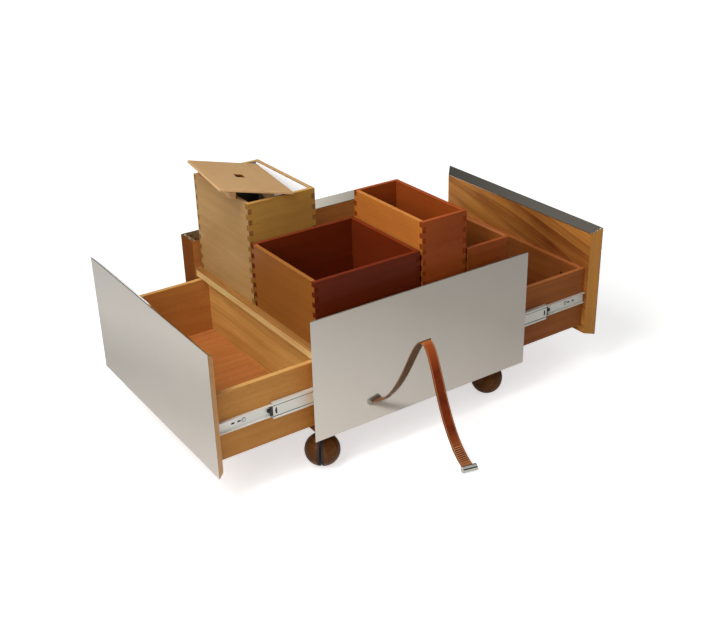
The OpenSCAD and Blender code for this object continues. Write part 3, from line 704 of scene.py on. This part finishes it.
def makeSlotShades(side, dark):
    look = shadeMarks
    low, high, middleZ, outer, inward = slideEnds(side + "_runners", side)
    half = Vector((look["slotLength"] / 2 * mm, look["slotHalfDepth"] * mm, look["slotHeight"] / 2 * mm))
    marks = []
    for face, into in ((low.y, 1), (high.y, -1)):
        web = face + into * look["webDepth"] * mm
        for spot in look["slots"]:
            centre = Vector((outer + inward * spot * mm, web + into * look["slotSunk"] * mm, middleZ))
            marks.append(makeBar(centre - half, centre + half, look["slotHeight"] * 0.4, 3))
        for spot in look["screws"]:
            bpy.ops.mesh.primitive_torus_add(major_radius=look["ringRadius"] * mm, minor_radius=look["ringWidth"] * mm,
                                             major_segments=40, minor_segments=10, rotation=(math.radians(90), 0, 0),
                                             location=(outer + inward * spot * mm, web, middleZ))
            marks.append(bpy.context.object)
            applyTransform(marks[-1])
            smooth(marks[-1], 60)
    hand(joinParts(marks, side + "SlotShades", dark), side + "_drawer", "black_steel")


makeSlides()


# Screws: one cross-head screw is modelled, and copied to every place the CAD has one
screwLook = {"headRadius": 4.0, "headHeight": 1.2, "shankRadius": 1.9, "crossWidth": 0.9, "crossLength": 4.6,
             "crossDepth": 0.7, "rim": 0.5, "turnEach": 37}
screwZinc = sheet("screwZinc", zincLook)


def modelScrew(length):
    look = screwLook
    shank = addCylinder(24, look["shankRadius"], length, -length / 2)
    head = addCylinder(32, look["headRadius"], look["headHeight"], look["headHeight"] / 2)
    bevelTop(head, look["rim"], 3)
    for turn in (0, 90):
        bpy.ops.mesh.primitive_cube_add(size=1, location=(0, 0, look["headHeight"] * mm))
        cutter = bpy.context.object
        cutter.scale = (look["crossLength"] * mm, look["crossWidth"] * mm, 2 * look["crossDepth"] * mm)
        cutter.rotation_euler = (0, 0, math.radians(turn))
        modify(head, "BOOLEAN", object=cutter, operation="DIFFERENCE", solver="EXACT")
        bpy.data.objects.remove(cutter)
    screw = joinParts((head, shank), "screw")
    smooth(screw)
    return screw


def screwPlaces(node):
    # where each CAD screw's head sits, which way it points, and how long the screw is
    headHeight = screwLook["headHeight"]
    found = []
    for part in loosePieces(copyNode(node, "screwSample")):
        low, high = corners(part)
        size, centre = high - low, (low + high) / 2
        axis = max(range(3), key=lambda i: size[i])
        across = (axis + 1) % 3
        widths = []
        for end in (low, high):
            near = [v.co for v in part.data.vertices if abs(v.co[axis] - end[axis]) < 0.1 * mm]
            widths.append(max(abs(c[across] - centre[across]) for c in near))
        # the head is the wider end
        sign = 1 if widths[1] > widths[0] else -1
        direction, seat = Vector((0, 0, 0)), centre.copy()
        direction[axis] = sign
        seat[axis] = (high if sign > 0 else low)[axis] - sign * headHeight * mm
        found.append((seat, direction, size[axis] / mm - headHeight))
        bpy.data.objects.remove(part)
    return found


def makeScrews():
    browned = plainMaterial("brownedSteel", tone(64, 36, 20), 0.45, Metallic=0.3)
    for node, body in (("cabinet_screws", "cart"), ("left_screws", "left_drawer"), ("right_screws", "right_drawer")):
        screws = []
        for index, (seat, direction, length) in enumerate(screwPlaces(node)):
            screw = modelScrew(length)
            turn = direction.to_track_quat("Z", "Y").to_matrix().to_4x4()
            spin = Matrix.Rotation(math.radians(screwLook["turnEach"] * index), 4, "Z")
            screw.data.transform(Matrix.Translation(seat) @ turn @ spin)
            # those through the drawers' ends are brown
            screw.data.materials.append(browned if abs(direction.x) > 0.5 else screwZinc)
            screws.append(screw)
        hand(joinParts(screws, node.replace("_s", "S")), body, "zinc", node)
    print("screws done")


makeScrews()


# Loose boxes with finger joints, one piece for each wall
boxLook = {"edge": 0.6, "bottomEdge": 0.3, "liningEdge": 0.3, "shift": (3, 2, 0.07)}
# some walls take a copy of the box's wood: fronts darker as painted shade, left walls lighter as painted light
boxes = {
    "lined": {"wood": "pale", "Front": "paleFrontPaintedShade", "slot": "pale_wood"},
    "wide": {"wood": "maroon", "Front": "maroonFrontPaintedShade", "Left": "honeyPaintedLight", "slot": "red_wood"},
    "tall": {"wood": "russet", "Left": "amber", "slot": "amber_wood"},
    "low": {"wood": "hazel", "Front": "hazelFrontPaintedShade", "slot": "amber_wood"},
}
# the painted glow along the lining's top: how far down it is full and where it ends, in millimetres
paintedGlow = {"full": 45, "fades": 75, "strength": 0.4}


def makeBoxes():
    alongShift, acrossShift, upShift = boxLook["shift"]
    for name, look in boxes.items():
        body, node = name + "_box", name + "_walls"
        low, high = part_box(node)
        for wall in loosePieces(copyNode(node, name + "Wall")):
            start, end = corners(wall)
            size, away = end - start, (start + end) / 2 - (low + high) / 2
            if size.x > size.y:
                turn, side = alongX, "Front" if away.y < 0 else "Back"
            else:
                turn, side = alongY, "Left" if away.x < 0 else "Right"
            wall.name = name + "Box" + side
            soften(wall, boxLook["edge"])
            shift = (away.x * alongShift, away.y * acrossShift, upShift)
            dressWood(wall, look.get(side, look["wood"]), turn, shift, look["wood"])
            hand(wall, body, look["slot"], node)
        finishNode(name + "_bottom", name + "BoxBottom", body, look["slot"], boxLook["bottomEdge"],
                   {"kind": look["wood"], "turn": alongY})
    liner = copyNode("steel_liner", "boxLining")
    soften(liner, boxLook["liningEdge"])
    # one wall's inner face is painted as lit, near white with a painted glow along its top, and the rest is painted
    # darker as the lid's shade
    centre = middle(liner).x
    paint(liner, lambda face: face.normal.x < -0.5 and face.center.x > centre,
          sheet("liningShade", shadeLook, alongZ), paintedLitLining(corners(liner)[1].z))
    hand(liner, "lined_box", "liner_steel", "steel_liner")
    print("boxes done")


def paintedLitLining(top):
    # painted light: near-white matt steel that glows along its top
    lit = sheet("liningPaintedLight", paintedLitLinerLook, alongZ, metallic=0.0)
    tree = lit.node_tree
    surface = tree.nodes["Principled BSDF"].inputs
    surface["Emission Color"].default_value = (1, 1, 1, 1)
    level = follow("SeparateXYZ", {0: onPiece(tree)}, "Z")
    connect(surface, Emission_Strength=remap(level, top - paintedGlow["fades"] * mm, top - paintedGlow["full"] * mm, 0.0,
                                             paintedGlow["strength"]))
    return lit


makeBoxes()


# Lid, lying askew on the lined box
lidLook = {"edge": 1.0, "battenEdge": 0.6, "turn": 10.5, "tilt": 11.78, "holeReach": 20, "holeFacing": 0.6}


def makeLid():
    look = lidLook
    turned = (0, -look["tilt"], look["turn"] - 90)
    lid = copyNode("box_lid", "lidBoard")
    soften(lid, look["edge"])
    up = max(lid.data.polygons, key=lambda f: f.area).normal.copy()
    centre = middle(lid)

    def inHole(face):
        # the walls of the finger hole take a darker wood, as painted shade
        near = (face.center - centre).length < look["holeReach"] * mm
        return near and abs(face.normal.dot(up)) < look["holeFacing"]

    paint(lid, inHole, wood("lid", turned), wood("shade", turned))
    hand(lid, "lid", "pale_wood", "box_lid")
    finishNode("lid_battens", "lidBattens", "lid", "pale_wood", look["battenEdge"], wood("lid", turned))
    print("lid done")


makeLid()


# Pull strap: a leather strip laid along its hanging curve, stitched along both edges
strap = {
    "width": 27, "thickness": 3, "slotLevel": 155, "middle": 305, "reach": 186, "endLevel": -81, "drift": 19,
    "turn": 13, "out": 43, "inShare": 0.393, "lift": 35, "behindPanel": 20, "drop": 26, "bend": 3, "bendSteps": 8,
    "rise": 4, "riseSteps": 6, "through": (18, 14, 10, 6, 3), "curveSteps": 160, "step": 0.8, "acrossSteps": 14,
    "edge": 0.8, "edgeSteps": 3, "blendFrom": 2, "blendTo": -26,
}
# stitches, the rows pressed in near the bar, and the end folded back over it
seam = {
    "inset": 2.6, "stitch": 4.2, "pitch": 5.2, "radius": 0.65, "rings": 6, "segments": 8, "start": 6, "end": 10,
    "width": 1.1, "depth": 0.18, "rowStart": 57, "rowPitch": 4.8, "rows": 9, "rowStitches": 5, "rowWidth": 0.8,
    "rowDepth": 0.3, "rowMargin": 2.2,
}
foldLook = {"length": 62, "short": 6, "thickness": 2.2, "lift": 1.0, "pared": 14, "thinnest": 0.25}


def strapCurve(t):
    s = strap
    points = [(0, s["slotLevel"]), (-s["out"], s["slotLevel"]),
              (-s["inShare"] * s["reach"], s["endLevel"] + s["lift"]), (-s["reach"], s["endLevel"])]
    weights = [(1 - t) ** 3, 3 * (1 - t) ** 2 * t, 3 * (1 - t) * t * t, t ** 3]
    y = sum(w * p[0] for w, p in zip(weights, points))
    z = sum(w * p[1] for w, p in zip(weights, points))
    return Vector((s["middle"] - s["drift"] * t ** 1.6, y, z)), t


def strapRoute():
    # from the hidden end behind the panel, up, out through the slot and down to the bar
    s = strap
    x, level, bend = s["middle"], s["slotLevel"], s["bend"]
    back = s["behindPanel"] + s["thickness"] / 2
    path = [Vector((x, back, level - s["drop"] + s["rise"] * i)) for i in range(s["riseSteps"])]
    for i in range(1, s["bendSteps"]):
        a = math.radians(90 * i / s["bendSteps"])
        path.append(Vector((x, back - bend + bend * math.cos(a), level - bend + bend * math.sin(a))))
    path += [Vector((x, y, level)) for y in s["through"]]
    steps = s["curveSteps"]
    return [(point, 0) for point in path] + [strapCurve(i / steps) for i in range(steps + 1)]


route = strapRoute()
distances = [0.0]
for (a, _), (b, _) in zip(route, route[1:]):
    distances.append(distances[-1] + (b - a).length)
strapLength = distances[-1]


def strapFrame(along):
    # middle point, side direction, travel direction and outward normal at a distance from the hidden end
    along = min(max(along, 0.0), strapLength - 1e-6)
    i = max(k for k in range(len(distances) - 1) if distances[k] <= along)
    share = (along - distances[i]) / (distances[i + 1] - distances[i])
    point = route[i][0].lerp(route[i + 1][0], share)
    t = route[i][1] + (route[i + 1][1] - route[i][1]) * share
    before, after = route[max(i - 1, 0)][0], route[min(i + 2, len(route) - 1)][0]
    turn = math.radians(strap["turn"] * t)
    side = Vector((math.cos(turn), -math.sin(turn), 0))
    travel = (after - before).normalized()
    side = (side - travel * side.dot(travel)).normalized()
    return point, side, travel, travel.cross(side)


def bendAlong(obj, start, lift=0.0):
    # the flat piece's Y becomes the way along the strap, its X the way across
    for v in obj.data.vertices:
        point, side, travel, normal = strapFrame(start + v.co.y / mm)
        v.co = place(*(point + side * (v.co.x / mm) + normal * (v.co.z / mm + lift)))
    obj.data.update()


def strapStrip(name, length, thickness):
    bpy.ops.mesh.primitive_grid_add(x_subdivisions=strap["acrossSteps"], y_subdivisions=int(length / strap["step"]),
                                    size=1, location=(0, length / 2 * mm, thickness / 2 * mm))
    strip = bpy.context.object
    strip.name = name
    strip.scale = (strap["width"] * mm, length * mm, 1)
    applyTransform(strip)
    modify(strip, "SOLIDIFY", thickness=thickness * mm, offset=-1)
    roundEdges(strip, strap["edge"], strap["edgeSteps"], 60)
    return strip


def markLeather(strip, length):
    # how far each point is across the strap and from the bar, for the leather's colours
    marks = {"acrossStrap": lambda c: abs(c.x / mm) / (strap["width"] / 2), "fromBar": lambda c: length - c.y / mm,
             "underside": lambda c: 1.0 if c.z < 0 else 0.0}
    for name, measure in marks.items():
        layer = strip.data.attributes.new(name, "FLOAT", "POINT")
        for v in strip.data.vertices:
            layer.data[v.index].value = measure(v.co)


def pressRows(strip, length):
    # the rows of stitches near the bar and along the edges pull the leather in a little
    s, half = seam, strap["width"] / 2
    for v in strip.data.vertices:
        toBar = length - v.co.y / mm
        x = abs(v.co.x / mm)
        edge = math.exp(-(((x - (half - s["inset"])) / s["width"]) ** 2)) * s["depth"]
        row = 0.0
        for i in range(s["rows"]):
            row += math.exp(-(((toBar - s["rowStart"] + i * s["rowPitch"]) / s["rowWidth"]) ** 2)) * s["rowDepth"]
        if x > half - s["rowMargin"]:
            row = 0.0
        v.co.z -= math.copysign((edge + row) * mm, v.co.z)


def addStitch(vertices, faces, along, across, crosswise, side):
    # one thread stitch as a small rounded bead lying on the leather
    rings, segments = seam["rings"], seam["segments"]
    point, sideways, travel, normal = strapFrame(along)
    if side < 0:
        normal = -normal
    point = point + sideways * across + normal * (strap["thickness"] / 2 + 0.02)
    long, short = (sideways, travel) if crosswise else (travel, sideways)
    base = len(vertices)
    for r in range(rings + 1):
        a = math.pi * r / rings
        for k in range(segments):
            b = 2 * math.pi * k / segments
            spot = point + long * (-math.cos(a) * seam["stitch"] / 2)
            spot = spot + short * (math.sin(a) ** 0.5 * math.cos(b) * seam["radius"])
            spot = spot + normal * (math.sin(a) ** 0.5 * math.sin(b) * seam["radius"])
            vertices.append(place(*spot))
    for r in range(rings):
        for k in range(segments):
            c = (k + 1) % segments
            row, under = base + r * segments, base + (r + 1) * segments
            faces.append((row + k, row + c, under + c, under + k))


def makeThread():
    # seams along both edges on both sides, and the rows near the bar on the outer one
    s = seam
    vertices, faces = [], []
    edge = strap["width"] / 2 - s["inset"]
    first = distances[len(route) - strap["curveSteps"] - 1] + s["start"]
    for side in (1, -1):
        for i in range(int((strapLength - first - s["end"]) / s["pitch"])):
            for across in (-edge, edge):
                addStitch(vertices, faces, first + i * s["pitch"], across, False, side)
    for i in range(s["rows"]):
        for k in range(s["rowStitches"]):
            across = (k - (s["rowStitches"] - 1) / 2) * (2 * edge - 1.5) / s["rowStitches"]
            addStitch(vertices, faces, strapLength - s["rowStart"] + i * s["rowPitch"], across, True, 1)
    data = bpy.data.meshes.new("strapStitching")
    data.from_pydata(vertices, [], faces)
    thread = addObject("strapStitching", data)
    edit(thread, "VERT")
    bpy.ops.mesh.remove_doubles(threshold=0.001 * mm)
    leaveEdit()
    return thread


def makeStrap():
    s, f = strap, foldLook
    leather = leatherMaterial()
    strip = strapStrip("leatherStrap", strapLength - 0.5, s["thickness"])
    markLeather(strip, strapLength)
    pressRows(strip, strapLength)
    bendAlong(strip, 0)
    foldLength = f["length"] - f["short"]
    fold = strapStrip("strapFoldedEnd", foldLength, f["thickness"])
    markLeather(fold, foldLength)
    for mark in fold.data.attributes["underside"].data:
        mark.value = 1.0
    for v in fold.data.vertices:
        # the folded end is pared thin where it stops
        v.co.z *= min(1.0, f["thinnest"] + v.co.y / mm / f["pared"])
    bendAlong(fold, strapLength - f["length"], lift=-s["thickness"] / 2 - f["lift"])
    thread = makeThread()
    cotton = plainMaterial("strapThread", tone(222, 170, 118), 0.75, speckle=2500.0)
    for obj, material in ((strip, leather), (fold, leather), (thread, cotton)):
        faceOut(obj)
        smooth(obj, 60)
        obj.data.materials.clear()
        obj.data.materials.append(material)
    for obj in (strip, thread):
        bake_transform(obj)
    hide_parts("pull_strap", "strap_tail")
    hand(fold, "strap", "leather")
    chrome = sheet("chrome", chromeLook, bump=0.01)
    finishNode("strap_bar", "strapCrossBar", "strap", "chrome", 0.9, chrome, segments=3)
    finishNode("strap_anchor", "strapClampPlate", "cart", "zinc", 0.3, screwZinc)
    print("strap done")


# the bands near the top of the curve and near the bar are painted light; the edge tone is burnished edge and partly
# painted highlight
leatherLook = {
    "middle": tone(142, 54, 15), "deep": tone(100, 34, 9), "crestHighlight": tone(222, 138, 72), "warm": tone(176, 84, 32),
    "litBandAndNap": tone(158, 86, 42), "tan": tone(172, 116, 78), "edge": tone(150, 86, 40), "suede": tone(204, 176, 154),
    "edgeFrom": (0.9, 0.98), "edgeShare": 0.6, "crestHighlightFrom": (298, 314), "warmFrom": (236, 292),
    "litBandAndNapFrom": (96, 50), "tanFrom": (22, 8),
}


def leatherMaterial():
    # smooth red-brown face with painted light in bands where its curve faces the lamps, at the top and near the bar,
    # lighter edges that are burnished and partly a painted highlight, and a suede back
    look = leatherLook
    material, tree, surface = newMaterial("bridleLeather", Specular_IOR_Level=0.15, Coat_Weight=0.03,
                                          Coat_Roughness=0.35)
    across, fromBar, under = (addNode(tree, "Attribute", attribute_name=name).outputs["Fac"]
                              for name in ("acrossStrap", "fromBar", "underside"))
    where = onPiece(tree)
    cloud = noise(where, 30.0, 4.0, 0.6)
    pebble = follow("TexVoronoi", {"Vector": where, "Scale": 1100.0}, "Distance", feature="SMOOTH_F1")
    creases = noise(where, 420.0, 4.0, 0.65, 0.6)
    colour = mixColours(remap(cloud, 0.35, 0.7), look["middle"], look["deep"])
    # painted light: lighter bands where the curve turns towards the lamps
    for zone in ("warm", "crestHighlight", "litBandAndNap", "tan"):
        share = times(remap(fromBar, *look[zone + "From"]), remap(cloud, 0.2, 0.6, 0.7, 1.0))
        colour = mixColours(share, colour, look[zone])
    colour = mixColours(remap(creases, 0.55, 0.75, 0.0, 0.3), colour, look["deep"])
    # lighter edges: burnished, and partly a painted highlight
    colour = mixColours(remap(across, *look["edgeFrom"], 0.0, look["edgeShare"]), colour, look["edge"])
    # the leather darkens between the rows of stitches
    turns = calc("DIVIDE", calc("SUBTRACT", fromBar, seam["rowStart"]), seam["rowPitch"])
    valley = remap(calc("COSINE", times(turns, 2 * math.pi)), 0.3, -0.6)
    lastRow = seam["rowStart"] - seam["rowPitch"] * (seam["rows"] - 1)
    sewn = times(remap(fromBar, lastRow - 3, lastRow),
                 remap(fromBar, seam["rowStart"] + 3, seam["rowStart"]))
    colour = mixColours(times(valley, sewn), colour, look["deep"])
    nap = mixColours(remap(creases, 0.3, 0.7, 0.0, 0.35), look["suede"], look["litBandAndNap"])
    connect(surface, Base_Color=mixColours(under, colour, nap),
            Roughness=plus(remap(creases, 0.3, 0.7, 0.36, 0.5), times(under, 0.35)),
            Normal=relief(plus(times(pebble, 0.5), times(creases, 0.8)), 0.35, 0.15))
    return material


makeStrap()


# Casters
casterLook = {"plateEdge": 0.4, "swivelEdge": 0.5, "ballEdge": 1.2, "tyreEdge": 0.6}


def makeCasters():
    look = casterLook
    finishNode("caster_plates", "casterPlates", "cart", "zinc", look["plateEdge"], screwZinc)
    black = plainMaterial("blackCoat", tone(22, 20, 20), 0.5, speckle=1500.0, Specular_IOR_Level=0.2)
    rubber = plainMaterial("greyRubber", tone(66, 58, 56), 0.75, speckle=700.0, Specular_IOR_Level=0.2)
    for i in range(1, 5):
        finishNode(f"swivel_{i}", f"swivelFork{i}", f"swivel_{i}", "black_steel", look["swivelEdge"], black)
        finishNode(f"ball_{i}", f"casterBall{i}", f"wheel_{i}", "walnut", look["ballEdge"],
                   wood("walnut", alongY, (0.1 * i, 0.2 * i, 0)))
        finishNode(f"tyres_{i}", f"casterTyres{i}", f"wheel_{i}", "tyre_rubber", look["tyreEdge"], rubber)
    print("casters done")


makeCasters()


# Studio: the camera stands where the photographer's did
camera = {"spot": (-1024, -1722, 1314), "yaw": 33.926, "pitch": 26.334, "roll": -1.376, "lens": 53.39,
          "sensor": 36, "farthest": 60}
studio = {"floor": 60.0, "skyLow": 0.5, "skyHigh": 0.22, "skyTone": (1.0, 0.985, 0.96, 1), "aim": (305, 305, 200)}
lamps = {
    "key": {"power": 30.0, "spot": (-1000, 0, 2200), "size": 1.1},
    "side": {"power": 20.0, "spot": (-1900, -700, 1500), "size": 1.2},
    "fill": {"power": 2.0, "spot": (900, -2300, 2100), "size": 2.2},
}


def addCamera():
    lens = bpy.data.cameras.new("photoCamera")
    lens.lens = camera["lens"]
    lens.sensor_width = camera["sensor"]
    lens.clip_end = camera["farthest"]
    view = addObject("photoCamera", lens)
    pose = Matrix.Translation(place(*camera["spot"]))
    for degrees, axis in ((-camera["yaw"], "Z"), (90 - camera["pitch"], "X"), (camera["roll"], "Z")):
        pose = pose @ Matrix.Rotation(math.radians(degrees), 4, axis)
    view.matrix_world = pose
    bpy.context.scene.camera = view


def makeStudio():
    addCamera()
    clearPicks()
    bpy.ops.mesh.primitive_plane_add(size=studio["floor"], location=(0, 0, 0))
    floor = bpy.context.object
    floor.name = "studioFloor"
    floor.data.materials.append(floorMaterial())
    for name, look in lamps.items():
        lamp = bpy.data.lights.new(name + "Lamp", "AREA")
        lamp.energy = look["power"]
        lamp.size = look["size"]
        holder = addObject(name + "Lamp", lamp)
        holder.location = place(*look["spot"])
        towards = place(*studio["aim"]) - holder.location
        holder.rotation_euler = towards.to_track_quat("-Z", "Y").to_euler()
    makeSky()
    bpy.context.scene.view_settings.view_transform = "Standard"
    print("studio done")


# the mirrored glow's ramps run across the floor, from the brighter left to the right
floorLook = {
    "near": 0.62, "far": 0.98, "fade": (0.8, 3.0), "acrossWay": (1.0, -0.35, 0.0), "mirrorRamp": (-0.2, 0.7),
    "mirrorLeft": 0.4, "mirrorRight": 0.04, "nearRamp": (-0.75, -0.4), "farRamp": (-0.85, -1.05), "mirrorFar": 0.56,
}


def floorMaterial():
    # matt and pale: white to the camera but for the cart's shadow, and in the steel bright at the left
    look = floorLook
    material, tree, surface = newMaterial("floorPaper", Base_Color=(0.86, 0.86, 0.86, 1), Roughness=0.9,
                                          Emission_Color=(1, 1, 1, 1))
    where = onPiece(tree)
    across = follow("VectorMath", {0: where, 1: look["acrossWay"]}, "Value", operation="DOT_PRODUCT")
    rays = addNode(tree, "LightPath").outputs
    seen = times(rays["Is Camera Ray"], remap(distance(where), *look["fade"], look["near"], look["far"]))
    mirrored = times(rays["Is Glossy Ray"],
                     remap(across, *look["mirrorRamp"], look["mirrorLeft"], look["mirrorRight"]))
    fading = plus(remap(across, *look["nearRamp"]), remap(across, *look["farRamp"], 0.0, look["mirrorFar"]))
    connect(surface, Emission_Strength=plus(seen, times(mirrored, fading)))
    return material


# what polished metal sees of the room, from the horizon up: rise, then brightness
roomBands = ((0.0, 0.4), (0.03, 0.04), (0.5, 0.04), (0.6, 0.13), (0.65, 0.22), (0.76, 0.22), (0.8, 1.0),
             (0.89, 1.0), (0.93, 0.2))


def makeSky():
    # white to the camera, a soft grey room that lights the cart, and a banded one for reflections
    world = bpy.data.worlds.new("softRoom")
    bpy.context.scene.world = world
    world.use_nodes = True
    tree = world.node_tree
    room = tree.nodes["Background"]
    where = addNode(tree, "TexCoord").outputs["Generated"]
    height = follow("SeparateXYZ", {0: where}, "Z")
    connect(room.inputs, Strength=remap(height, 0.0, 0.8, studio["skyLow"], studio["skyHigh"]))
    room.inputs["Color"].default_value = studio["skyTone"]
    bands = addNode(tree, "ValToRGB", {0: height})
    stops = bands.color_ramp.elements
    while len(stops) < len(roomBands):
        stops.new(0.5)
    for stop, (rise, bright) in zip(stops, roomBands):
        stop.position = rise
        stop.color = (bright, bright, bright * 0.96, 1)
    banded = follow("Background", {"Color": bands.outputs["Color"]})
    white = addNode(tree, "Background", {"Color": (1, 1, 1, 1)}).outputs[0]
    rays = addNode(tree, "LightPath").outputs
    mirrored = follow("MixShader", {0: rays["Is Glossy Ray"], 1: room.outputs[0], 2: banded})
    seen = follow("MixShader", {0: rays["Is Camera Ray"], 1: mirrored, 2: white})
    connect(tree.nodes["World Output"].inputs, Surface=seen)


makeStudio()
